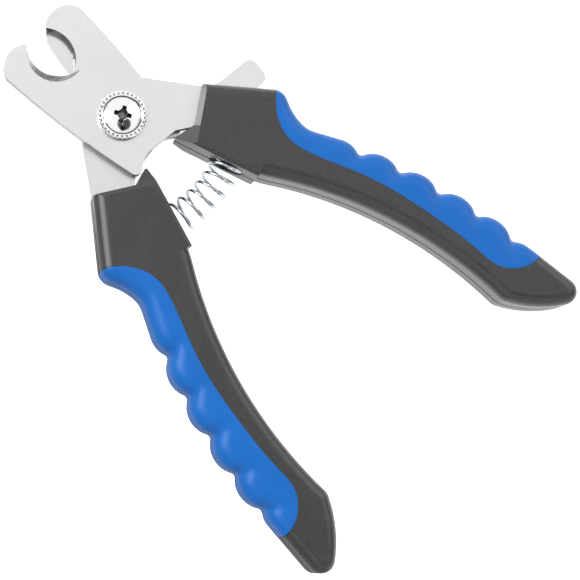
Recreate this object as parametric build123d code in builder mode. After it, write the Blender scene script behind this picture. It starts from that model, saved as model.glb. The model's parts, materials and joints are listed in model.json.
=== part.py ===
from build123d import *
import math
import os

# A plier-type nail clipper for dogs, lying on its back, fully open. Millimetres, +Z up.
# The origin is under the middle of its outline, on the surface that it lies on.
# The two halves are the same half turned over, so each is drawn once, in its own closed frame:
# origin on the pivot axis at the plane where the blades pass, +X to the jaws, +Z to the outside
# of the blade, the jaw on the +Y side and the handle on the -Y side of the line they close on.

# Driving dimensions
HALF_OPEN = 17.8  # each half is turned this far from closed, in degrees
PIVOT_X = 42.976  # from the middle of the outline to the pivot
HANDLE_T = 15.2
HANDLE_ROUND = 3.0  # rounding of the handle's long edges
ROOT_ROUND = 1.0  # rounding of the root block's inner edges
INNER_Y = -0.95  # flat inner face at the handle's root
ROOT_END_X = -37.9  # where that flat face stops

BLADE_T = 3.0
BLADE_PLAY = 0.02  # each blade stands this far from the plane where they pass
NOTCH = (22.45, -10.2)
NOTCH_R = 8.3
BEVEL = (22.1, -7.05)  # the notch on the blade's outer face
BEVEL_R = 7.5

SLEEVE_R = 3.5
SCREW_R = 2.5
RUNNING = 0.04  # radial clearance where something turns
HEAD_R = 4.85
RING_R = 6.25
SERRATIONS = 30

GUARD_T = 1.2
GUARD_TOP = -3.6  # the guard's upper face, from the plane where the blades pass
TAIL_TOP = -6.2  # the same face on the tail, past its crank
RELIEF_Z = -5.95  # floor of the relief in the upper handle's back, over the guard's tail
RELIEF_R = 41.2

POCKET_X = -29.6  # spring pocket in the flat inner face
POCKET_R = 4.7
POCKET_DEPTH = 7.0
WIRE_R = 0.4
COIL_R = 4.15
COIL_TURNS = 10

GRIP_SKIN = 1.8  # the soft grip's least thickness on the faces
PEG_R = 2.0
PEG_SPOTS = [(-46.0, -11.3), (-70.0, -11.4)]

HALF_T = HANDLE_T / 2
BLADE_TOP = BLADE_PLAY + BLADE_T
PIVOT = Vector(PIVOT_X, 0, HALF_T)
COS = math.cos(math.radians(HALF_OPEN))
SIN = math.sin(math.radians(HALF_OPEN))
FRONT = Plane(origin=PIVOT, x_dir=(COS, SIN, 0), z_dir=(0, 0, 1))
REAR = Plane(origin=PIVOT, x_dir=(COS, -SIN, 0), z_dir=(0, 0, -1))
STACK = Plane(origin=PIVOT)

os.makedirs("parts", exist_ok=True)


def finish(part, name):
    """Labels a finished piece and writes it."""
    part.label = name
    export_step(part, f"parts/{name}.step")


# Blades: nose, back, stop heel, waist behind the pivot, and the tang inside the handle


def blade_outline():
    """The blade's plan, drawn in the line builder that is open."""
    nose = Line((29.3, -5.7), (30.6, -5.25))
    tip = ThreePointArc(nose @ 1, (32.6, -1.9), (31.9, 3.0))
    corner = Line(tip @ 1, (30.4, 4.6))
    back = ThreePointArc(corner @ 1, (10.9, 9.25), (-8.9, 12.3))
    heel = ThreePointArc(back @ 1, (-10.35, 11.7), (-10.7, 10.2))
    waist = ThreePointArc(heel @ 1, (-9.95, 6.9), (-10.8, 3.7))
    throat = Polyline(waist @ 1, (-13.9, -2.9), (-17.6, -5.9), (-22.5, -9.2), (-76.0, -8.6))
    cap = ThreePointArc(throat @ 1, (-78.6, -11.2), (-76.0, -13.8))
    Polyline(cap @ 1, (-40.0, -14.6), (-15.0, -16.5), (15.0, -6.2), nose @ 0)


def make_blade(plane):
    with BuildPart() as blade:
        with BuildSketch(plane.offset(BLADE_PLAY)):
            with BuildLine():
                blade_outline()
            make_face()
            with Locations(NOTCH):
                Circle(NOTCH_R, mode=Mode.SUBTRACT)
            Circle(SLEEVE_R + RUNNING, mode=Mode.SUBTRACT)
            with Locations(*PEG_SPOTS):
                Circle(PEG_R + RUNNING, mode=Mode.SUBTRACT)
        extrude(amount=BLADE_T)
        # The slanted cut that leaves a sharp edge on the side where the blades pass
        with BuildSketch(plane.offset(BLADE_PLAY)) as cutting_edge:
            with Locations(NOTCH):
                Circle(NOTCH_R)
        with BuildSketch(plane.offset(BLADE_TOP)) as outer_edge:
            with Locations(BEVEL):
                Circle(BEVEL_R)
        loft(sections=[cutting_edge.sketch, outer_edge.sketch], mode=Mode.SUBTRACT)
    return blade.part


# Handles: a rounded bow with finger lobes on its outer side, and a square root block

ROOT_EDGE = [(-15.9, -16.8), (-20.1, -1.3)]  # end of the handle's outer face at the root
ROOT_FOOT = [(-14.9, -16.7), (-17.6, -5.8)]  # the same end at the blade
LUG_TIP = [(-14.8, -1.5), (-14.9, INNER_Y)]  # the other blade's heel stops against this lug
LUG_Z = 3.3  # height of the lug's tip above the passing plane
LOBES = [  # valley, crest, valley of each further finger lobe
    ((-59.6, -18.35), (-65.4, -21.25), (-71.0, -18.9)),
    ((-71.0, -18.9), (-76.7, -21.4), (-82.5, -18.5)),
    ((-82.5, -18.5), (-88.0, -20.8), (-94.0, -17.9)),
    ((-94.0, -17.9), (-99.0, -19.5), (-105.2, -16.2)),
]
VALLEYS = [lobe[0] for lobe in LOBES] + [LOBES[-1][2]]
SHOULDER = (-34.6, -24.9)
NECK = (-44.6, -18.45)  # between the shoulder and the first finger's long lobe
INNER_BEND = (-38.6, -1.75)  # the bow's inner side leaves the root block here
INNER_END = (-109.2, -0.75)  # the two handles meet here when closed
PLAN_ROUNDS = [
    (1.5, VALLEYS),
    (4.2, [SHOULDER]),
    (7.0, [NECK]),
    (30.0, [INNER_BEND]),
    (4.0, [INNER_END]),
]


def bow_outline():
    """The handle's plan with its root cut square, drawn in the line builder that is open."""
    root = Line((-18.9, -1.3), ROOT_FOOT[0])
    shoulder = Line(root @ 1, SHOULDER)
    ThreePointArc(shoulder @ 1, (-39.6, -20.4), NECK)
    long_lobe = Line(NECK, (-53.4, -20.1))
    TangentArc(long_lobe @ 1, LOBES[0][0], tangent=long_lobe % 1)
    for valley, crest, next_valley in LOBES:
        ThreePointArc(valley, crest, next_valley)
    swell = ThreePointArc(LOBES[-1][2], (-107.4, -16.85), (-109.4, -16.76))
    taper = Line(swell @ 1, (-123.9, -13.75))
    end = ThreePointArc(taper @ 1, (-126.64, -10.33), (-125.3, -7.57))
    under = ThreePointArc(end @ 1, (-117.7, -3.1), INNER_END)
    inside = ThreePointArc(under @ 1, (-71.0, -6.63), INNER_BEND)
    Line(inside @ 1, root @ 0)


def wedge(plane, start, length, profile):
    """A prism along the root edge. Its profile is (distance from the edge, height)."""
    edge = Vector(*ROOT_EDGE[1]) - Vector(*ROOT_EDGE[0])
    along = (plane.x_dir * edge.X + plane.y_dir * edge.Y).normalized()
    corner = plane.from_local_coords(Vector(*ROOT_EDGE[0])) + along * start
    section = Plane(origin=corner, x_dir=along.cross(plane.z_dir), z_dir=along)
    turned = [(x, -y) for x, y in profile] if section.y_dir.dot(plane.z_dir) < 0 else profile
    with BuildPart() as prism:
        with BuildSketch(section):
            with BuildLine():
                Polyline(*turned, close=True)
            make_face()
        extrude(amount=length)
    return prism.part


def make_handle(plane, relief):
    """The whole handle, still one lump: bow, root block, ramps at the root, guard relief."""
    with BuildPart() as root_block:
        with BuildSketch(plane.offset(-HALF_T)):
            with BuildLine():
                Polyline(
                    *LUG_TIP,
                    (ROOT_END_X, INNER_Y),
                    (ROOT_END_X, -9.0),
                    (-19.0, -9.0),
                    ROOT_FOOT[1],
                    close=True,
                )
            make_face()
        extrude(amount=HANDLE_T)
        inner_edges = [
            edge
            for edge in root_block.edges()
            if abs(plane.to_local_coords(edge.center()).Y - INNER_Y) < 0.01
            and abs(abs(plane.to_local_coords(edge.center()).Z) - HALF_T) < 0.01
        ]
        fillet(inner_edges, ROOT_ROUND)
    with BuildPart() as handle:
        with BuildSketch(plane.offset(-HALF_T)) as plan:
            with BuildLine():
                bow_outline()
            make_face()
            for radius, spots in PLAN_ROUNDS:
                corners = [
                    corner
                    for corner in plan.vertices()
                    if any(math.dist((corner.X, corner.Y), spot) < 0.15 for spot in spots)
                ]
                fillet(corners, radius)
        extrude(amount=HANDLE_T)
        long_edges = [
            edge
            for edge in handle.edges()
            if abs(abs(plane.to_local_coords(edge.center()).Z) - HALF_T) < 0.01
            and plane.to_local_coords(edge.center()).X < -21
        ]
        fillet(long_edges, HANDLE_ROUND)
        add(root_block.part)
        ramp_end = 6.5
        ramp_z = HALF_T - (HALF_T - LUG_Z) * ramp_end / 5.25
        ramp = [(0, HALF_T), (ramp_end, HALF_T), (ramp_end, ramp_z)]
        add(wedge(plane, -3, 24, ramp), mode=Mode.SUBTRACT)
        add(wedge(plane, -3, 24, [(x, -z) for x, z in ramp]), mode=Mode.SUBTRACT)
        slope = [(0, HALF_T), (3, HALF_T), (3, BLADE_TOP), (1.15, BLADE_TOP)]
        add(wedge(plane, -3, 14.3, slope), mode=Mode.SUBTRACT)
        if relief:
            with BuildSketch(plane.offset(RELIEF_Z)):
                Circle(RELIEF_R)
            extrude(amount=-HALF_T, mode=Mode.SUBTRACT)
    return handle.part


def make_grip(plane, handle):
    """The soft overmould: the handle's outer side, wrapped round a rib of the core."""
    with BuildPart() as grip:
        add(handle)
        with BuildSketch(plane.offset(-HALF_T)):
            with BuildLine():
                edge = Spline(
                    (-32.4, -25.5),
                    (-34.6, -18.6),
                    (-40.6, -13.35),
                    (-48.4, -12.45),
                    (-62.0, -13.55),
                    (-84.9, -11.8),
                    (-97.3, -9.35),
                    (-104.8, -8.15),
                    (-110.6, -11.1),
                    (-113.8, -18.0),
                )
                Polyline(edge @ 1, (-113.8, -27.0), (-32.4, -27.0), edge @ 0)
            make_face()
        extrude(amount=HANDLE_T, mode=Mode.INTERSECT)
        with BuildSketch(plane.offset(GRIP_SKIN - HALF_T)):
            with BuildLine():
                rib = Spline((-35.6, -19.6), (-46.0, -16.7), (-75.0, -17.0), (-98.0, -15.9), (-110.5, -13.6))
                Polyline(rib @ 1, (-110.5, -5.0), (-35.6, -5.0), rib @ 0)
            make_face()
        extrude(amount=HANDLE_T - 2 * GRIP_SKIN, mode=Mode.SUBTRACT)
    return grip.part


def spring_pocket(plane):
    mouth = plane.from_local_coords(Vector(POCKET_X, INNER_Y))
    with BuildPart() as pocket:
        with BuildSketch(Plane(origin=mouth + plane.y_dir, x_dir=plane.x_dir, z_dir=-plane.y_dir)):
            Circle(POCKET_R)
        extrude(amount=POCKET_DEPTH + 1)
    return pocket.part


def make_shells(plane, handle, grip):
    """The hard core in two shells that meet at the passing plane, round the tang."""
    pocket = spring_pocket(plane)
    with BuildPart() as outer_shell:
        add(handle)
        add(grip, mode=Mode.SUBTRACT)
        split(bisect_by=plane, keep=Keep.TOP)
        add(pocket, mode=Mode.SUBTRACT)
        with BuildSketch(plane):
            with BuildLine():
                blade_outline()
            make_face()
        extrude(amount=BLADE_TOP, mode=Mode.SUBTRACT)
        with BuildSketch(plane):
            with Locations(*PEG_SPOTS):
                Circle(PEG_R + RUNNING)
        extrude(amount=BLADE_TOP + 2, mode=Mode.SUBTRACT)
    with BuildPart() as inner_shell:
        add(handle)
        add(grip, mode=Mode.SUBTRACT)
        split(bisect_by=plane, keep=Keep.BOTTOM)
        add(pocket, mode=Mode.SUBTRACT)
        with BuildSketch(plane):
            with Locations(*PEG_SPOTS):
                Circle(PEG_R)
        extrude(amount=BLADE_TOP + 1.8)
    return outer_shell.part, inner_shell.part


for side, half, shell_names in (
    ("front", FRONT, ("front_shell", "back_shell")),
    ("rear", REAR, ("back_shell", "front_shell")),
):
    finish(make_blade(half), f"{side}_blade")
    whole = make_handle(half, relief=side == "front")
    soft = make_grip(half, whole)
    finish(soft, f"{side}_grip")
    for shell, shell_name in zip(make_shells(half, whole, soft), shell_names):
        finish(shell, f"{side}_handle_{shell_name}")


# The pivot, from the front down: screw, serrated ring, blades on a sleeve, washer, nail guard,
# cone spring and nut. Heights are above the plane where the blades pass.

RING_Z = BLADE_TOP + BLADE_PLAY
RING_FLOOR = RING_Z + 0.5
RING_TOP = 4.7
HEAD_SIDE = 4.25
HEAD_TOP = 5.4
CROSS_SPAN = 4.7
CROSS_WIDTH = 1.3
CROSS_CORE = 1.4  # radius of the recess in the middle of the cross
CROSS_DEPTH = 1.8
CROSS_TURN = 30
GUARD_BACK = GUARD_TOP - GUARD_T
NUT_TOP = GUARD_BACK - 0.5
NUT_BACK = NUT_TOP - 2.0
SHANK_END = HALF_T - 0.4


def spun(name, *outline):
    """A round piece of the pivot: an outline of (radius, height) turned round the axis."""
    with BuildPart() as piece:
        with BuildSketch(Plane(origin=PIVOT, x_dir=(1, 0, 0), z_dir=(0, -1, 0))):
            with BuildLine():
                Polyline(*outline, close=True)
            make_face()
        revolve(axis=Axis(PIVOT, (0, 0, 1)))
    return piece.part


def make_screw():
    with BuildPart() as screw:
        with BuildSketch(Plane(origin=PIVOT, x_dir=(1, 0, 0), z_dir=(0, -1, 0))):
            with BuildLine():
                side = Polyline(
                    (0, -SHANK_END),
                    (SCREW_R - 0.3, -SHANK_END),
                    (SCREW_R, 0.3 - SHANK_END),
                    (SCREW_R, RING_FLOOR),
                    (HEAD_R, RING_FLOOR),
                    (HEAD_R, HEAD_SIDE),
                )
                dome = ThreePointArc(side @ 1, (2.6, HEAD_TOP - 0.31), (0, HEAD_TOP))
                Line(dome @ 1, side @ 0)
            make_face()
        revolve(axis=Axis(PIVOT, (0, 0, 1)))
        # The cross recess narrows towards its floor
        with BuildSketch(STACK.offset(HEAD_TOP + 0.3).rotated((0, 0, CROSS_TURN))):
            Rectangle(CROSS_SPAN, CROSS_WIDTH)
            Rectangle(CROSS_WIDTH, CROSS_SPAN)
            Circle(CROSS_CORE)
        extrude(amount=-CROSS_DEPTH - 0.3, taper=8, mode=Mode.SUBTRACT)
    return screw.part


def make_ring():
    rim = spun(
        "rim",
        (SCREW_R + RUNNING, RING_Z),
        (RING_R, RING_Z),
        (RING_R, RING_TOP - 0.3),
        (RING_R - 0.3, RING_TOP),
        (HEAD_R + 0.4, RING_TOP),
        (HEAD_R + 0.1, RING_TOP - 0.3),
        (HEAD_R + 0.1, RING_FLOOR),
        (SCREW_R + RUNNING, RING_FLOOR),
    )
    with BuildPart() as ring:
        add(rim)
        with Locations(STACK.offset(RING_TOP)):
            with PolarLocations(RING_R - 0.3, SERRATIONS):
                Box(1.1, 0.5, 0.5, mode=Mode.SUBTRACT)
    return ring.part


def make_nut():
    with BuildPart() as nut:
        with BuildSketch(STACK.offset(NUT_BACK)):
            RegularPolygon(radius=4.5, side_count=6, major_radius=False)
            Circle(SCREW_R, mode=Mode.SUBTRACT)
        extrude(amount=NUT_TOP - NUT_BACK)
        chamfer(nut.faces().sort_by(Axis.Z)[0].outer_wire().edges(), 0.35)
    return nut.part


finish(make_screw(), "pivot_screw")
finish(make_ring(), "serrated_ring")
finish(make_nut(), "pivot_nut")
sleeve = [
    (SCREW_R + RUNNING, 0.2 - GUARD_T + GUARD_TOP),
    (SLEEVE_R, 0.2 - GUARD_T + GUARD_TOP),
    (SLEEVE_R, RING_Z),
    (SCREW_R + RUNNING, RING_Z),
]
finish(spun("sleeve", *sleeve), "pivot_sleeve")
washer = [
    (SLEEVE_R + RUNNING, GUARD_TOP + 0.05),
    (5.6, GUARD_TOP + 0.05),
    (5.6, -BLADE_TOP - 0.03),
    (SLEEVE_R + RUNNING, -BLADE_TOP - 0.03),
]
finish(spun("washer", *washer), "guard_washer")
cone = [(2.7, NUT_TOP), (5.5, NUT_TOP + 0.12), (5.5, GUARD_BACK - 0.03), (2.7, NUT_TOP + 0.35)]
finish(spun("cone", *cone), "disc_spring")


# The nail guard: a plate that swings behind the notch, with a cranked tail for the finger

ARM_END = (24.5, -7.1)
TAIL_BEND = (-14.8, -24.5)
TAIL_TIP = (-16.2, -37.2)
TAIL_WIDTH = 7.4


def make_tail():
    """The tail is its side profile, run across its width and cut to its plan."""
    along = Vector(*TAIL_BEND).normalized()
    across = Vector(0, 0, 1).cross(along)
    with BuildPart() as tail:
        with BuildSketch(Plane(origin=PIVOT + across * 12, x_dir=along, z_dir=-across)):
            with BuildLine():
                profile = [
                    (5.0, GUARD_TOP),
                    (10.0, GUARD_TOP),
                    (15.0, TAIL_TOP),
                    (44.0, TAIL_TOP),
                    (44.0, TAIL_TOP - GUARD_T),
                    (14.6, TAIL_TOP - GUARD_T),
                    (9.6, GUARD_BACK),
                    (5.0, GUARD_BACK),
                ]
                Polyline(*profile, close=True)
            make_face()
        extrude(amount=24)
        with BuildSketch(STACK.offset(-HALF_T)) as plan:
            with BuildLine():
                FilletPolyline((0, 0), TAIL_BEND, TAIL_TIP, radius=14)
            trace(line_width=TAIL_WIDTH)
            fillet(plan.vertices().sort_by(Axis.Y)[:2], 2.2)
        extrude(amount=HANDLE_T, mode=Mode.INTERSECT)
    return tail.part


def make_guard():
    with BuildPart() as guard:
        with BuildSketch(STACK.offset(GUARD_BACK)):
            with Locations(ARM_END):
                Circle(6.1)
            Circle(2.95)
            make_hull()
            Circle(RING_R + 0.25)
        extrude(amount=GUARD_T)
        add(make_tail())
        with BuildSketch(STACK.offset(-HALF_T)):
            Circle(SLEEVE_R + RUNNING)
        extrude(amount=HANDLE_T, mode=Mode.SUBTRACT)
    return guard.part


finish(make_guard(), "nail_guard")


# The return spring: a coil whose ends sit square in the two pockets, so it bows outwards


def spring_path():
    """Straight in each pocket, and one arc between the mouths, in the open line builder."""
    ends = []
    for half in (REAR, FRONT):
        mouth = half.from_local_coords(Vector(POCKET_X, INNER_Y))
        floor = mouth - half.y_dir * (POCKET_DEPTH - WIRE_R - 0.05)
        ends.append((floor, mouth, half.y_dir))
    first = Line(ends[0][0], ends[0][1])
    bow = TangentArc(first @ 1, ends[1][1], tangent=first % 1)
    Line(bow @ 1, ends[1][0])


def make_spring():
    with BuildLine() as path:
        spring_path()
    route = path.wire()
    steps = 12 * COIL_TURNS
    points = []
    for step in range(steps + 1):
        here = route.position_at(step / steps)
        ahead = route.tangent_at(step / steps)
        side = ahead.cross(Vector(0, 0, 1))
        angle = math.tau * COIL_TURNS * step / steps
        points.append(here + (side * math.cos(angle) + Vector(0, 0, 1) * math.sin(angle)) * COIL_R)
    with BuildPart() as spring:
        with BuildLine():
            wire = Spline(*points)
        with BuildSketch(Plane(origin=wire @ 0, z_dir=wire % 0)):
            Circle(WIRE_R)
        sweep(is_frenet=True)
    return spring.part


finish(make_spring(), "return_spring")
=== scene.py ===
import bpy
import bmesh
import json
import math
from mathutils import Matrix, Quaternion, Vector
from mathutils.kdtree import KDTree


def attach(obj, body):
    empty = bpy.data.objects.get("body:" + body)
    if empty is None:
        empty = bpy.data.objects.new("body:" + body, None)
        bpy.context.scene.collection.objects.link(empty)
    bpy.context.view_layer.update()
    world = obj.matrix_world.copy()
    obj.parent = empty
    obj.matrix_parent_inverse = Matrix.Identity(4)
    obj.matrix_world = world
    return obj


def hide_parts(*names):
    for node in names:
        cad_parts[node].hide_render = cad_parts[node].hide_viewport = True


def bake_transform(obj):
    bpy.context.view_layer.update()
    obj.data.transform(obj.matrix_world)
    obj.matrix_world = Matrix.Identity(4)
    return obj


# A plier-type nail clipper for dogs on a white sweep, seen from above its screw side.
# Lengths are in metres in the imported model's frame, unless they say millimetres.

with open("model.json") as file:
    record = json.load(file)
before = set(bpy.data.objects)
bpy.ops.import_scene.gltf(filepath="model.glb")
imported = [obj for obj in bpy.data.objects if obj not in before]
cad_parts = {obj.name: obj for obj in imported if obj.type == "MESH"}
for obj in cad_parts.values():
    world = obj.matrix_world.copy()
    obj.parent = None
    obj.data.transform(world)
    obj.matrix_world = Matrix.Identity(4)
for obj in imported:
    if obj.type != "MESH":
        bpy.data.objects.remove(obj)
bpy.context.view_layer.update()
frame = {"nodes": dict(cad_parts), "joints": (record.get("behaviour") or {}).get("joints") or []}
nodes = frame["nodes"]
joints = {joint["name"]: joint for joint in frame["joints"]}
scene = bpy.context.scene
scene.view_settings.view_transform = "Standard"

MM = 0.001
UP = Vector((0, 0, 1))
PIVOT = Vector(joints["closing"]["pos_m"])
HALF_OPEN = math.radians(17.8)  # each half is turned this far from closed at rest


# Camera

CAMERA_AIM = PIVOT + Vector((-61.9, 1.81, 0)) * MM
CAMERA_DISTANCE = 573.2 * MM
CAMERA_AZIMUTH = math.radians(167.855)
CAMERA_ELEVATION = math.radians(77.593)
CAMERA_ROLL = math.radians(55.647)
CAMERA_LENS = 138.08  # millimetres


def make_camera():
    flat = math.cos(CAMERA_ELEVATION)
    back = Vector(
        (
            math.sin(CAMERA_AZIMUTH) * flat,
            -math.cos(CAMERA_AZIMUTH) * flat,
            math.sin(CAMERA_ELEVATION),
        )
    )
    data = bpy.data.cameras.new("camera")
    data.lens = CAMERA_LENS
    data.clip_start = 0.05
    data.clip_end = 10
    camera = bpy.data.objects.new("camera", data)
    scene.collection.objects.link(camera)
    camera.rotation_mode = "QUATERNION"
    camera.rotation_quaternion = Quaternion(back, CAMERA_ROLL) @ back.to_track_quat("Z", "Y")
    camera.location = CAMERA_AIM + back * CAMERA_DISTANCE
    scene.camera = camera
    return camera


camera = make_camera()


# Materials

SEAM_GROOVE = (0.0001, 0.00055)  # the groove's floor and its top, by distance from the seam
UNLIT_SIDE = (0.186, 0.983, 0.0)  # the way to the floor's unlit side, across the rear handle
UNLIT_FROM = 0.030  # it begins this far that way
UNLIT_FADE = 0.004  # half the width of the change
UNLIT_SHARE = 0.32  # of the light that the lit side sends back
# the table's own glow, painted light that keeps shadows on it faint
FLOOR_GLOW = 0.74


class Nodes:
    """A material's node tree, with short calls for what every material here uses."""

    def __init__(self, name):
        self.material = bpy.data.materials.new(name)
        self.material.use_nodes = True
        self.tree = self.material.node_tree
        self.tree.nodes.clear()
        self.shader = self.add("ShaderNodeBsdfPrincipled")
        output = self.add("ShaderNodeOutputMaterial")
        self.link(self.shader.outputs["BSDF"], output.inputs["Surface"])
        self.place = self.add("ShaderNodeTexCoord").outputs["Object"]

    def add(self, kind, **settings):
        node = self.tree.nodes.new(kind)
        for key, value in settings.items():
            setattr(node, key, value)
        return node

    def link(self, output, socket):
        self.tree.links.new(output, socket)

    def height(self, vector):
        """The Z of a vector."""
        node = self.add("ShaderNodeSeparateXYZ")
        self.link(vector, node.inputs["Vector"])
        return node.outputs["Z"]

    def calculate(self, operation, value, other=None):
        """One step of arithmetic on a value, with a number or a second value where it has one."""
        node = self.add("ShaderNodeMath", operation=operation)
        self.link(value, node.inputs[0])
        if isinstance(other, bpy.types.NodeSocket):
            self.link(other, node.inputs[1])
        elif other is not None:
            node.inputs[1].default_value = other
        return node.outputs["Value"]

    def noise(self, scale, detail=3, stretch=(1, 1, 1), turn=0):
        """A noise of so many features per metre, drawn out along an axis."""
        mapping = self.add("ShaderNodeMapping")
        mapping.inputs["Rotation"].default_value = (0, 0, turn)
        mapping.inputs["Scale"].default_value = stretch
        self.link(self.place, mapping.inputs["Vector"])
        noise = self.add("ShaderNodeTexNoise")
        noise.inputs["Scale"].default_value = scale
        noise.inputs["Detail"].default_value = detail
        self.link(mapping.outputs["Vector"], noise.inputs["Vector"])
        return noise.outputs["Fac"]

    def spread(self, value, low, high, to_low=0, to_high=1):
        """The part of a value between low and high, stretched to a new range."""
        node = self.add("ShaderNodeMapRange")
        node.inputs["From Min"].default_value = low
        node.inputs["From Max"].default_value = high
        node.inputs["To Min"].default_value = to_low
        node.inputs["To Max"].default_value = to_high
        self.link(value, node.inputs["Value"])
        return node.outputs["Result"]

    def mix(self, factor, first, second):
        """A colour between two, by a factor."""
        node = self.add("ShaderNodeMix", data_type="RGBA")
        self.link(factor, node.inputs["Factor"])
        for socket, colour in ((node.inputs["A"], first), (node.inputs["B"], second)):
            if isinstance(colour, tuple):
                socket.default_value = (*colour, 1)
            else:
                self.link(colour, socket)
        return node.outputs["Result"]

    def bump(self, height, distance, strength, under=None):
        """A relief of a height, over another one where there is one under it."""
        node = self.add("ShaderNodeBump")
        node.inputs["Strength"].default_value = strength
        node.inputs["Distance"].default_value = distance
        self.link(height, node.inputs["Height"])
        if under is not None:
            self.link(under, node.inputs["Normal"])
        return node.outputs["Normal"]

    def set(self, **values):
        """Sockets of the shader, by name with _ for a blank: a number, a colour or a link."""
        for key, value in values.items():
            socket = self.shader.inputs[key.replace("_", " ")]
            if isinstance(value, bpy.types.NodeSocket):
                self.link(value, socket)
            elif isinstance(value, tuple):
                socket.default_value = (*value, 1)
            else:
                socket.default_value = value


def satin_steel(name, turn, tone=0.80, rough=0.27, bevel=0.8, wall=0.2):
    """Stainless steel ground across its length, with faint clouds, and with painted shade darkening
    its cut sides.

    bevel and wall are the painted-shade tones of slanted and upright surfaces, as shares of the
    face's own.
    """
    n = Nodes(name)
    lines = n.noise(150, 4, (14, 1, 1), turn)
    clouds = n.noise(45, 2, (2, 1, 1), turn)
    normal = n.add("ShaderNodeNewGeometry").outputs["True Normal"]
    flat = n.calculate("ABSOLUTE", n.height(normal))  # 1 on a flat face, 0 on an upright side

    def grey(share):
        return (tone * share, tone * share * 0.997, tone * share * 0.993)

    def warm_grey(share):
        return (tone * share, tone * share * 0.965, tone * share * 0.965)

    ground = n.mix(n.spread(clouds, 0.35, 0.65), grey(0.972), grey(1.0))
    streaked = n.mix(n.spread(lines, 0.35, 0.65, 0, 0.2), ground, grey(0.95))
    # Upright sides lie below this range, slanted cuts between it and the next, and faces above. The
    # sides and cuts get painted shade, darker by the way they face
    painted_side_shade = n.mix(n.spread(flat, 0.28, 0.55), warm_grey(wall), warm_grey(bevel))
    n.set(
        Base_Color=n.mix(n.spread(flat, 0.75, 0.95), painted_side_shade, streaked),
        Metallic=1.0,
        Roughness=n.spread(lines, 0.3, 0.7, rough - 0.015, rough + 0.02),
        Normal=n.bump(lines, 0.000001, 0.015),
    )
    return n.material


def bright_metal(name, reach=0.9):
    """Nickel-plated steel: slightly uneven under the plating, with painted shade in its narrow
    recesses.

    reach is how far across a recess may be to get the painted shade, in millimetres.
    """
    n = Nodes(name)
    waves = n.noise(380, 2)
    # Painted shade: where the occlusion test finds the surface hemmed in, the colour goes almost
    # black
    painted_recess_shade = n.add("ShaderNodeAmbientOcclusion", samples=12)
    painted_recess_shade.inputs["Distance"].default_value = reach * MM
    unshaded_share = n.spread(painted_recess_shade.outputs["AO"], 0.50, 0.90)
    n.set(
        Base_Color=n.mix(unshaded_share, (0.03, 0.03, 0.032), (0.96, 0.96, 0.965)),
        Metallic=1.0,
        Roughness=n.spread(n.noise(1500, 3), 0.3, 0.7, 0.03, 0.11),
        Normal=n.bump(waves, 0.00001, 0.4),
    )
    return n.material


def drawn_wire(name):
    """Hard-drawn spring wire: bluish grey, with faint die lines."""
    n = Nodes(name)
    tone = n.noise(600, 3)
    n.set(
        Base_Color=n.mix(n.spread(tone, 0.3, 0.7), (0.40, 0.43, 0.47), (0.58, 0.61, 0.65)),
        Metallic=1.0,
        Roughness=n.spread(tone, 0.3, 0.7, 0.10, 0.20),
        Normal=n.bump(n.noise(4000, 2), 0.000003, 0.4),
    )
    return n.material


def black_plastic(name):
    """Nylon from a spark-eroded mould: fine grain, soft gloss, a little dust.

    Where the two shells of a handle meet, their edges leave a shallow groove.
    """
    n = Nodes(name)
    above_seam = n.calculate("SUBTRACT", n.height(n.place), PIVOT.z)
    beside_seam = n.spread(n.calculate("ABSOLUTE", above_seam), *SEAM_GROOVE)
    grain = n.noise(3600, 2)
    patches = n.noise(120, 3)
    dust = n.spread(n.noise(2300, 1), 0.70, 0.78)
    body = n.mix(n.spread(patches, 0.3, 0.7), (0.020, 0.0196, 0.0193), (0.026, 0.0255, 0.025))
    speckled = n.mix(n.spread(grain, 0.42, 0.72), body, (0.038, 0.037, 0.036))
    dusty = n.mix(dust, speckled, (0.085, 0.082, 0.08))
    n.set(
        Base_Color=n.mix(beside_seam, (0.004, 0.004, 0.004), dusty),
        Roughness=n.mix(beside_seam, (0.9, 0.9, 0.9), n.spread(grain, 0.2, 0.8, 0.30, 0.42)),
        Specular_IOR_Level=0.5,
        Normal=n.bump(beside_seam, 0.0003, 0.8, under=n.bump(grain, 0.00003, 0.45)),
    )
    return n.material


def blue_rubber(name):
    """A soft satin elastomer, slightly mottled and finely grained."""
    n = Nodes(name)
    grain = n.noise(3800, 2)
    patches = n.noise(70, 3)
    n.set(
        Base_Color=n.mix(n.spread(patches, 0.3, 0.7), (0.005, 0.098, 0.364), (0.006, 0.109, 0.402)),
        Roughness=n.spread(grain, 0.2, 0.8, 0.34, 0.44),
        Specular_IOR_Level=0.21,
        Normal=n.bump(grain, 0.00002, 0.25),
    )
    return n.material


def sweep_white(name):
    """The lit white table: pale, and glowing with painted light of its own, so that shadows on it
    stay faint.

    It sends less light back to the clipper from its unlit side, where its colour and glow are
    painted darker. The camera sees it plain.
    """
    n = Nodes(name)
    # Painted shade: to rays other than the camera's, the table is darker and glows less on its
    # unlit side
    across = n.add("ShaderNodeVectorMath", operation="DOT_PRODUCT")
    n.link(n.place, across.inputs[0])
    across.inputs[1].default_value = UNLIT_SIDE
    edge = (UNLIT_FROM - UNLIT_FADE, UNLIT_FROM + UNLIT_FADE)
    lit = n.spread(across.outputs["Value"], *edge, 1.0, UNLIT_SHARE)
    seen = n.add("ShaderNodeLightPath").outputs["Is Camera Ray"]
    share = n.calculate("MAXIMUM", lit, seen)
    white = n.mix(n.noise(3, 2), (0.80, 0.80, 0.80), (0.83, 0.83, 0.83))
    n.set(
        Base_Color=n.mix(share, (0.03, 0.03, 0.03), white),
        Roughness=0.9,
        Specular_IOR_Level=0.1,
        Emission_Color=(1.0, 1.0, 1.0),
        Emission_Strength=n.calculate("MULTIPLY", share, FLOOR_GLOW),
    )
    return n.material


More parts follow.
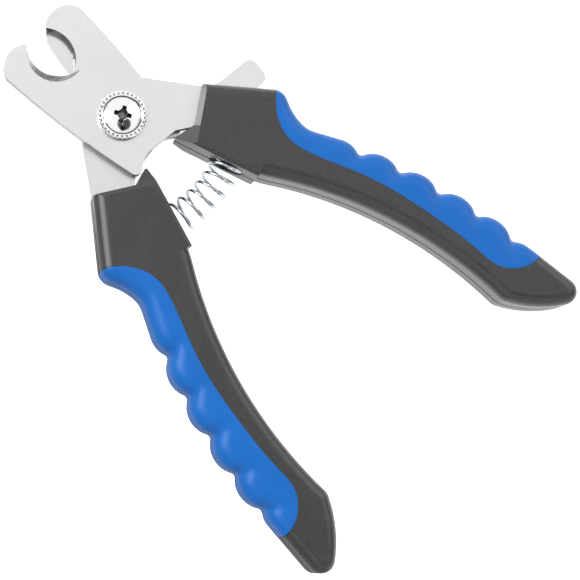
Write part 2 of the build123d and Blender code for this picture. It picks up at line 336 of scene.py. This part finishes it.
plated = bright_metal("nickel_plate")
wire_metal = drawn_wire("spring_wire_drawn")
turned_steel = satin_steel("turned_steel", 0, tone=0.52)
plastic = black_plastic("black_plastic_moulded")
rubber = blue_rubber("blue_rubber_grip")

FINISH = {
    # The blades' slanted cuts get painted shade, much darker on the rear blade than on the front
    # one
    "front_blade": satin_steel("front_blade_ground", -HALF_OPEN, bevel=0.85),
    "rear_blade": satin_steel("rear_blade_ground", HALF_OPEN, bevel=0.3),
    "nail_guard": satin_steel("guard_sheet", 0.3, rough=0.17),
    "front_handle_front_shell": plastic,
    "front_handle_back_shell": plastic,
    "rear_handle_front_shell": plastic,
    "rear_handle_back_shell": plastic,
    "pivot_screw": bright_metal("nickel_plate_screw", reach=2.4),
    "serrated_ring": plated,
    "pivot_nut": plated,
    "pivot_sleeve": turned_steel,
    "guard_washer": turned_steel,
    "disc_spring": turned_steel,
}
for name, material in FINISH.items():
    for slot in nodes[name].material_slots:
        slot.link = "OBJECT"
        slot.material = material


# Edges of the CAD pieces

SHARP_ANGLE = math.radians(35)
SAME_SPOT = 0.002 * MM  # points closer than this are one
# Width of each piece's eased edges in millimetres
EASED = {
    "front_blade": 0.08,
    "rear_blade": 0.08,
    "nail_guard": 0.15,
    "front_handle_front_shell": 0.12,
    "front_handle_back_shell": 0.12,
    "rear_handle_front_shell": 0.12,
    "rear_handle_back_shell": 0.12,
    "pivot_screw": 0.06,
    "serrated_ring": 0.04,
    "pivot_nut": 0.08,
}


def ease_edges(name, width, segments):
    """Takes the sharpness off a piece's edges, as tumbling, grinding or a mould does."""
    piece = nodes[name]
    weld = piece.modifiers.new("weld", "WELD")
    weld.merge_threshold = SAME_SPOT
    bevel = piece.modifiers.new("bevel", "BEVEL")
    bevel.width = width
    bevel.segments = segments
    bevel.limit_method = "ANGLE"
    bevel.angle_limit = SHARP_ANGLE
    normals = piece.modifiers.new("normals", "WEIGHTED_NORMAL")
    normals.keep_sharp = True
    normals.weight = 80


for name, width in EASED.items():
    # A blade's edges are ground off flat, and the other pieces' are rounded
    ease_edges(name, width * MM, segments=1 if name.endswith("_blade") else 2)


# The halves' own plan, as in the closed frame: origin on the pivot axis, +X to the jaws, and the
# handle on the -Y side of the line where the halves meet. Millimetres.

HALF_T = 7.6  # half a handle's thickness
ROOT_FOOT = (-14.9, -16.7)
SHOULDER = (-34.6, -24.9)
HOLLOW = (-39.6, -20.4)  # between the shoulder and the neck
NECK = (-44.6, -18.45)
LONG_LOBE = (-53.4, -20.1)
LOBES = [  # valley, crest, valley of each further finger lobe
    ((-59.6, -18.35), (-65.4, -21.25), (-71.0, -18.9)),
    ((-71.0, -18.9), (-76.7, -21.4), (-82.5, -18.5)),
    ((-82.5, -18.5), (-88.0, -20.8), (-94.0, -17.9)),
    ((-94.0, -17.9), (-99.0, -19.5), (-105.2, -16.2)),
]
# The last, low swelling of the edge, and the end of the straight line that follows it
SWELL = ((-105.2, -16.2), (-107.4, -16.85), (-109.4, -16.76))
TAPER_END = (-123.9, -13.75)
SHOULDER_R = 4.2
NECK_R = 7.0
VALLEY_R = 1.5
GRIP_BOUNDARY = [  # where the soft grip meets the hard core, seen from either face
    (-32.4, -25.5),
    (-34.6, -18.6),
    (-40.6, -13.35),
    (-48.4, -12.45),
    (-62.0, -13.55),
    (-84.9, -11.8),
    (-97.3, -9.35),
    (-104.8, -8.15),
    (-110.6, -11.1),
    (-113.8, -18.0),
]
STEP = 0.12  # every line is drawn in steps of about this length
HEADING_STEPS = 7  # a line's heading at a corner is taken over so many steps
ROUNDING_STEPS = 60  # no rounding reaches further back along a line


def closed_to_rest(point, side, height=0.0):
    """A point of one half's closed plan, in the frame at rest. side is 1 in front, -1 behind."""
    opened = Matrix.Rotation(side * HALF_OPEN, 2) @ Vector((point[0], side * point[1]))
    return PIVOT + Vector((opened.x, opened.y, side * height)) * MM


def straight(start, end):
    start, end = Vector(start), Vector(end)
    count = max(round((end - start).length / STEP), 1)
    return [start.lerp(end, i / count) for i in range(count + 1)]


def swung(centre, start, end):
    """The shorter arc round a centre."""
    first, last = Vector(start) - centre, Vector(end) - centre
    turn = math.atan2(first.x * last.y - first.y * last.x, first.dot(last))
    count = max(round(abs(turn) * first.length / STEP), 1)
    return [centre + Matrix.Rotation(turn * i / count, 2) @ first for i in range(count + 1)]


def centre_of(a, b, c):
    """The centre of the circle through three points."""
    a, b, c = Vector(a), Vector(b), Vector(c)
    ab, ac = b - a, c - a
    cross = 2 * (ab.x * ac.y - ab.y * ac.x)
    x = ac.y * ab.dot(ab) - ab.y * ac.dot(ac)
    y = ab.x * ac.dot(ac) - ac.x * ab.dot(ab)
    return a + Vector((x, y)) / cross


def arc(a, b, c):
    """The arc from a through b to c."""
    centre = centre_of(a, b, c)
    return swung(centre, a, b)[:-1] + swung(centre, b, c)


def tangent_arc(start, tangent, end):
    """The arc that leaves start along a tangent and reaches end."""
    start, end = Vector(start), Vector(end)
    across = Vector((-tangent.y, tangent.x)).normalized()
    chord = end - start
    return swung(start + across * chord.dot(chord) / (2 * chord.dot(across)), start, end)


def rounded(first, second, radius):
    """Two lines that meet at a corner, joined by a circle that touches both."""
    into = first[-1] - first[-1 - HEADING_STEPS]
    out = second[HEADING_STEPS] - second[0]
    side = 1 if into.x * out.y - into.y * out.x > 0 else -1

    def beside(line):
        shifted = []
        for i, point in enumerate(line):
            ahead = line[min(i + 1, len(line) - 1)] - line[max(i - 1, 0)]
            shifted.append(point + Vector((-ahead.y, ahead.x)).normalized() * radius * side)
        return shifted

    left, right = beside(first), beside(second)
    _, i, j = min(((a - b).length, i, j) for i, a in enumerate(left) for j, b in enumerate(right))
    centre = (left[i] + right[j]) / 2
    return first[:i] + swung(centre, first[i], second[j]) + second[j + 1 :]


def outer_edge():
    """The handle's outer side, from its root past the finger lobes to its end."""
    pieces = [
        (SHOULDER_R, arc(SHOULDER, HOLLOW, NECK)),
        (NECK_R, straight(NECK, LONG_LOBE)),
        (0, tangent_arc(LONG_LOBE, Vector(LONG_LOBE) - Vector(NECK), LOBES[0][0])),
    ]
    pieces += [(VALLEY_R, arc(*lobe)) for lobe in LOBES]
    pieces += [(VALLEY_R, arc(*SWELL)), (0, straight(SWELL[2], TAPER_END))]
    edge = straight(ROOT_FOOT, SHOULDER)
    for radius, piece in pieces:
        if radius:
            edge = edge[:-ROUNDING_STEPS] + rounded(edge[-ROUNDING_STEPS:], piece, radius)
        else:
            edge = edge + piece[1:]
    return edge


def smooth_through(points):
    """The smooth curve through points that a draughtsman's spline makes."""
    points = [Vector(point) for point in points]
    count = len(points)
    spans = [(b - a).length for a, b in zip(points, points[1:])]
    slopes = [(b - a) / span for a, b, span in zip(points, points[1:], spans)]
    ends = []
    for slope, beyond, span, next_span in (
        (slopes[0], slopes[1], spans[0], spans[1]),
        (slopes[-1], slopes[-2], spans[-1], spans[-2]),
    ):
        ends.append(slope + (slope - beyond) * span / (span + next_span))
    # Tangents that make the bend continuous at every point, by elimination from one end
    factor, known = [0.0], [ends[0]]
    for i in range(1, count - 1):
        before, after = spans[i - 1], spans[i]
        pivot = 2 * (before + after) - after * factor[-1]
        right = 3 * (after * slopes[i - 1] + before * slopes[i])
        known.append((right - after * known[-1]) / pivot)
        factor.append(before / pivot)
    tangents = [ends[1]]
    for i in range(count - 2, 0, -1):
        tangents.insert(0, known[i] - factor[i] * tangents[0])
    tangents.insert(0, ends[0])
    curve = []
    for i, span in enumerate(spans):
        steps = max(round(span / STEP), 1)
        a, b = points[i], points[i + 1]
        out, into = tangents[i] * span, tangents[i + 1] * span
        for k in range(steps):
            t = k / steps
            curve.append(
                a * (2 * t**3 - 3 * t**2 + 1)
                + out * (t**3 - 2 * t**2 + t)
                + b * (3 * t**2 - 2 * t**3)
                + into * (t**3 - t**2)
            )
    return curve + [points[-1]]


def crossings(first, second):
    """Where two lines cross: the index on each line, and the point."""
    found = []
    for i, (a, b) in enumerate(zip(first, first[1:])):
        for j, (c, d) in enumerate(zip(second, second[1:])):
            if (a - c).length > 3 * STEP:
                continue
            ab, cd, ac = b - a, d - c, c - a
            cross = ab.x * cd.y - ab.y * cd.x
            if abs(cross) < 1e-9:
                continue
            along = (ac.x * cd.y - ac.y * cd.x) / cross
            across = (ac.x * ab.y - ac.y * ab.x) / cross
            if 0 <= along <= 1 and 0 <= across <= 1:
                found.append((i, j, a + ab * along))
    return found


def evenly(line, count):
    """count + 1 points along a line, equally spaced."""
    lengths = [0.0]
    for a, b in zip(line, line[1:]):
        lengths.append(lengths[-1] + (b - a).length)
    points = []
    k = 0
    for i in range(count + 1):
        length = lengths[-1] * i / count
        while k < len(line) - 2 and lengths[k + 1] < length:
            k += 1
        span = lengths[k + 1] - lengths[k]
        points.append(line[k].lerp(line[k + 1], (length - lengths[k]) / span))
    return points


# The soft grips: crowned over the finger lobes, and level with the hard core at their edge

GRIP_COLUMNS = 300
GRIP_ROWS = 16
EDGE_CROWN = (3.0, 3.0)  # width and height of the rounding at a grip's ends
FULL_CROWN = (4.0, 3.8)  # the same in the middle of a grip
CROWN_RUN = 11.0  # the first grows into the second over this length
EDGE_SINK = 0.07  # the grip's edge is this far below the core
FINGER_DIP = 0.75  # the valleys between fingers run this deep into the face
DIP_WIDTH = 1.5  # how fast a valley gets shallower along the grip
DIP_REACH = 7.0  # and how far in it ends
RELIEF_R = 41.6  # the guard's tail swings behind the front handle inside this radius
RELIEF_HEIGHT = 5.95  # the grip's back is no higher there


def grip_plan():
    """The handle's outer side, the part of it that the grip covers, and the grip's inner edge."""
    outline = outer_edge()
    boundary = smooth_through(GRIP_BOUNDARY)
    (i0, j0, start), (i1, j1, end) = crossings(outline, boundary)
    outer = [start] + outline[i0 + 1 : i1 + 1] + [end]
    inner = [start] + boundary[j0 + 1 : j1 + 1] + [end]
    return outline, evenly(outer, GRIP_COLUMNS), evenly(inner, GRIP_COLUMNS)


def crown(distance, width, height):
    """Height of the grip's face at a distance in from its outer edge."""
    if distance >= width:
        return HALF_T
    return HALF_T - height + height * math.sqrt(1 - (1 - distance / width) ** 2)


def grip_sheet():
    """The face of a grip in the closed plan: columns of (x, y, height) from outside to inside."""
    outline, outer, inner = grip_plan()
    tree = KDTree(len(outline))
    for i, point in enumerate(outline):
        tree.insert((point.x, point.y, 0), i)
    tree.balance()
    length = GRIP_COLUMNS * (outer[1] - outer[0]).length
    valleys = [Vector(lobe[0]) for lobe in LOBES] + [Vector(SWELL[0])]
    columns = []
    for i, (foot, edge) in enumerate(zip(outer, inner)):
        from_end = length * min(i, GRIP_COLUMNS - i) / GRIP_COLUMNS
        grown = min(from_end / CROWN_RUN, 1)
        grown = grown * grown * (3 - 2 * grown)
        width, height = (a + (b - a) * grown for a, b in zip(EDGE_CROWN, FULL_CROWN))
        from_valley = min((foot - valley).length for valley in valleys)
        dip = FINGER_DIP * math.exp(-((from_valley / DIP_WIDTH) ** 2) / 2)
        column = []
        for j in range(GRIP_ROWS + 1):
            share = 1 - math.cos(math.pi / 2 * j / GRIP_ROWS)
            spot = foot.lerp(edge, share)
            distance = tree.find((spot.x, spot.y, 0))[2]
            top = crown(distance if j else 0, width, height)
            top -= dip * max(1 - distance / DIP_REACH, 0) ** 2
            if j == GRIP_ROWS:
                top -= EDGE_SINK
            column.append((spot.x, spot.y, top))
        columns.append(column)
    return columns


def face_height(spot, top, side, level):
    """Height of one face of a grip, sunk at the back of the front one where the tail passes."""
    if side > 0 > level and math.hypot(*spot) < RELIEF_R:
        return min(top, RELIEF_HEIGHT)
    return top


def make_grip(side, sheet):
    """One grip: the face, the same face turned over, and the walls between them."""
    name = "front" if side > 0 else "rear"
    mesh = bmesh.new()
    grid = {}
    for level in (1, -1):
        for i, column in enumerate(sheet):
            for j, (x, y, top) in enumerate(column):
                height = face_height((x, y), top, side, level)
                grid[level, i, j] = mesh.verts.new(closed_to_rest((x, y), side, level * height))
    for level in (1, -1):
        for i in range(GRIP_COLUMNS):
            for j in range(GRIP_ROWS):
                corners = [grid[level, i, j], grid[level, i + 1, j]]
                corners += [grid[level, i + 1, j + 1], grid[level, i, j + 1]]
                mesh.faces.new(corners).smooth = True
    for i in range(GRIP_COLUMNS):
        for j in (0, GRIP_ROWS):
            wall = [grid[1, i, j], grid[1, i + 1, j], grid[-1, i + 1, j], grid[-1, i, j]]
            mesh.faces.new(wall).smooth = j == 0
    # The edges that lie in the core stay sharp
    for level in (1, -1):
        for i in range(GRIP_COLUMNS):
            edge = mesh.edges.get((grid[level, i, GRIP_ROWS], grid[level, i + 1, GRIP_ROWS]))
            edge.smooth = False
    bmesh.ops.remove_doubles(mesh, verts=mesh.verts, dist=0.001 * MM)
    bmesh.ops.recalc_face_normals(mesh, faces=mesh.faces)
    data = bpy.data.meshes.new(name + "_soft_grip")
    mesh.to_mesh(data)
    mesh.free()
    data.materials.append(rubber)
    piece = bpy.data.objects.new(name + "_soft_grip", data)
    scene.collection.objects.link(piece)
    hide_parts(name + "_grip")
    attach(piece, name + "_half")


sheet = grip_sheet()
for side in (1, -1):
    make_grip(side, sheet)


# The return spring: a real coil, bent between the pockets of both halves as they stand at rest

POCKET = Vector((-29.6, -0.95))
POCKET_DEPTH = 7.0
WIRE_R = 0.4
COIL_R = 4.15
COIL_TURNS = 11.0
END_TURNS = 1.0  # close turns at each end
END_PITCH = 2.3 * WIRE_R  # of a close turn
STEPS_PER_TURN = 40
WIRE_SIDES = 12


def spring_axis():
    """The coil's bent axis, as a function of the share of its length, and that length."""
    mouths, floors = [], []
    for side in (-1, 1):
        mouths.append(closed_to_rest(POCKET, side))
        deep = Vector((POCKET.x, POCKET.y - (POCKET_DEPTH - WIRE_R)))
        floors.append(closed_to_rest(deep, side))
    leaving = (mouths[0] - floors[0]).normalized()
    entering = (floors[1] - mouths[1]).normalized()
    # The arc between the mouths is tangent to both pockets
    radius = abs(mouths[0].y) / math.sin(HALF_OPEN)
    centre = Vector((mouths[0].x + radius * math.cos(HALF_OPEN), 0, PIVOT.z))
    run = (mouths[0] - floors[0]).length
    bend = 2 * HALF_OPEN * radius
    total = 2 * run + bend

    def at(share):
        """The place on the axis and the way ahead."""
        length = share * total
        if length < run:
            return floors[0] + leaving * length, leaving
        if length > run + bend:
            return mouths[1] + entering * (length - run - bend), entering
        turn = HALF_OPEN - (length - run) / radius
        spot = centre + Vector((-math.cos(turn), math.sin(turn), 0)) * radius
        return spot, Vector((-math.sin(turn), -math.cos(turn), 0))

    return at, total


def coil_points():
    """The wire's centreline: close turns at both ends, open turns between."""
    at, total = spring_axis()
    end_share = END_TURNS * END_PITCH * MM / total
    open_turns = COIL_TURNS - 2 * END_TURNS
    points = []
    for step in range(round(COIL_TURNS * STEPS_PER_TURN) + 1):
        turn = step / STEPS_PER_TURN
        if turn < END_TURNS:
            share = end_share * turn / END_TURNS
        elif turn > COIL_TURNS - END_TURNS:
            share = 1 - end_share * (COIL_TURNS - turn) / END_TURNS
        else:
            share = end_share + (1 - 2 * end_share) * (turn - END_TURNS) / open_turns
        spot, ahead = at(share)
        angle = math.tau * turn
        outward = UP * math.sin(angle) - ahead.cross(UP) * math.cos(angle)
        points.append(spot + outward * COIL_R * MM)
    return points


def tube(points, radius, sides):
    """The mesh of a round wire along points, with flat ends."""
    mesh = bmesh.new()
    rings = []
    beside = Vector((1, 0, 0))  # carried along, so that the rings don't twist
    for i, point in enumerate(points):
        before, after = points[max(i - 1, 0)], points[min(i + 1, len(points) - 1)]
        ahead = (after - before).normalized()
        across = ahead.cross(beside).normalized()
        beside = across.cross(ahead).normalized()
        ring = []
        for k in range(sides):
            angle = math.tau * k / sides
            outward = across * math.cos(angle) + beside * math.sin(angle)
            ring.append(mesh.verts.new(point + outward * radius))
        rings.append(ring)
    for ring, following in zip(rings, rings[1:]):
        for k in range(sides):
            m = (k + 1) % sides
            mesh.faces.new((ring[k], ring[m], following[m], following[k])).smooth = True
    mesh.faces.new(list(reversed(rings[0])))
    mesh.faces.new(rings[-1])
    bmesh.ops.recalc_face_normals(mesh, faces=mesh.faces)
    return mesh


def make_spring():
    mesh = tube(coil_points(), WIRE_R * MM, WIRE_SIDES)
    data = bpy.data.meshes.new("return_spring_coil")
    mesh.to_mesh(data)
    mesh.free()
    data.materials.append(wire_metal)
    piece = bpy.data.objects.new("return_spring_coil", data)
    scene.collection.objects.link(piece)
    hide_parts("return_spring")
    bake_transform(piece)


make_spring()


# Floor and light

FLOOR_HALF = 3.0
FLOOR_DROP = 0.02 * MM  # the floor is this far below the clipper


def make_floor():
    mesh = bmesh.new()
    corners = []
    for x, y in ((-1, -1), (1, -1), (1, 1), (-1, 1)):
        corners.append(mesh.verts.new((x * FLOOR_HALF, y * FLOOR_HALF, -FLOOR_DROP)))
    mesh.faces.new(corners)
    data = bpy.data.meshes.new("floor")
    mesh.to_mesh(data)
    mesh.free()
    data.materials.append(sweep_white("sweep_white"))
    floor = bpy.data.objects.new("floor", data)
    scene.collection.objects.link(floor)


def direction(image_right, image_up, tilt):
    """A direction in the studio: tilted from straight up towards a way in the camera's picture."""
    right = camera.rotation_quaternion @ Vector((1, 0, 0))
    up = camera.rotation_quaternion @ Vector((0, 1, 0))
    level = right * image_right + up * image_up
    level.z = 0
    level.normalize()
    tilt = math.radians(tilt)
    return level * math.sin(tilt) + UP * math.cos(tilt)


def area_light(name, towards, distance, power, size, length=None):
    """A light of so many watts that faces the clipper, square unless it has a length."""
    data = bpy.data.lights.new(name, "AREA")
    data.energy = power
    data.size = size
    if length is not None:
        data.shape = "RECTANGLE"
        data.size_y = length
    light = bpy.data.objects.new(name, data)
    scene.collection.objects.link(light)
    light.location = towards * distance
    light.rotation_mode = "QUATERNION"
    light.rotation_quaternion = towards.to_track_quat("Z", "Y")


# Each dark thing in the studio: its direction, how far it reaches in degrees, how soft its edge
# is in degrees, and how much light it takes away
DARK_PATCHES = [
    (direction(0.55, -0.83, 18), 18, 3, 0.92),
    (direction(0.20, -0.98, 29), 6, 3, 0.94),
    (direction(-1.0, -0.35, 86), 38, 14, 0.82),
    (direction(1.0, 0.0, 80), 24, 8, 0.75),
]
STUDIO_LIGHT = 0.98


def join(tree, operation, first, second):
    """Two values of a node tree, joined by arithmetic."""
    node = tree.nodes.new("ShaderNodeMath")
    node.operation = operation
    tree.links.new(first, node.inputs[0])
    tree.links.new(second, node.inputs[1])
    return node.outputs["Value"]


def light_past(tree, look, towards, reach, edge, taken):
    """The share of light that one dark thing leaves in each direction."""
    dot = tree.nodes.new("ShaderNodeVectorMath")
    dot.operation = "DOT_PRODUCT"
    dot.inputs[1].default_value = towards
    tree.links.new(look, dot.inputs[0])
    fade = tree.nodes.new("ShaderNodeMapRange")
    fade.interpolation_type = "SMOOTHSTEP"
    fade.inputs["From Min"].default_value = math.cos(math.radians(reach + edge))
    fade.inputs["From Max"].default_value = math.cos(math.radians(reach - edge))
    fade.inputs["To Min"].default_value = 1.0
    fade.inputs["To Max"].default_value = 1.0 - taken
    tree.links.new(dot.outputs["Value"], fade.inputs["Value"])
    return fade.outputs["Result"]


def make_world():
    """A white tent with a few dark things outside it, which the polished metal shows."""
    world = bpy.data.worlds.new("studio")
    world.use_nodes = True
    scene.world = world
    tree = world.node_tree
    background = tree.nodes["Background"]
    background.inputs["Strength"].default_value = STUDIO_LIGHT
    look = tree.nodes.new("ShaderNodeTexCoord").outputs["Generated"]
    light = light_past(tree, look, *DARK_PATCHES[0])
    for patch in DARK_PATCHES[1:]:
        light = join(tree, "MULTIPLY", light, light_past(tree, look, *patch))
    # The backdrop itself is plain
    seen = tree.nodes.new("ShaderNodeLightPath").outputs["Is Camera Ray"]
    tree.links.new(join(tree, "MAXIMUM", seen, light), background.inputs["Color"])


def make_lights():
    right = direction(0.85, 0.55, 50)
    left = direction(-1.0, 0.15, 48)
    area_light("key", right, distance=3.0, power=20.0, size=2.0)
    area_light("left_strip", left, distance=1.2, power=15.0, size=0.6, length=1.0)


make_floor()
make_world()
make_lights()
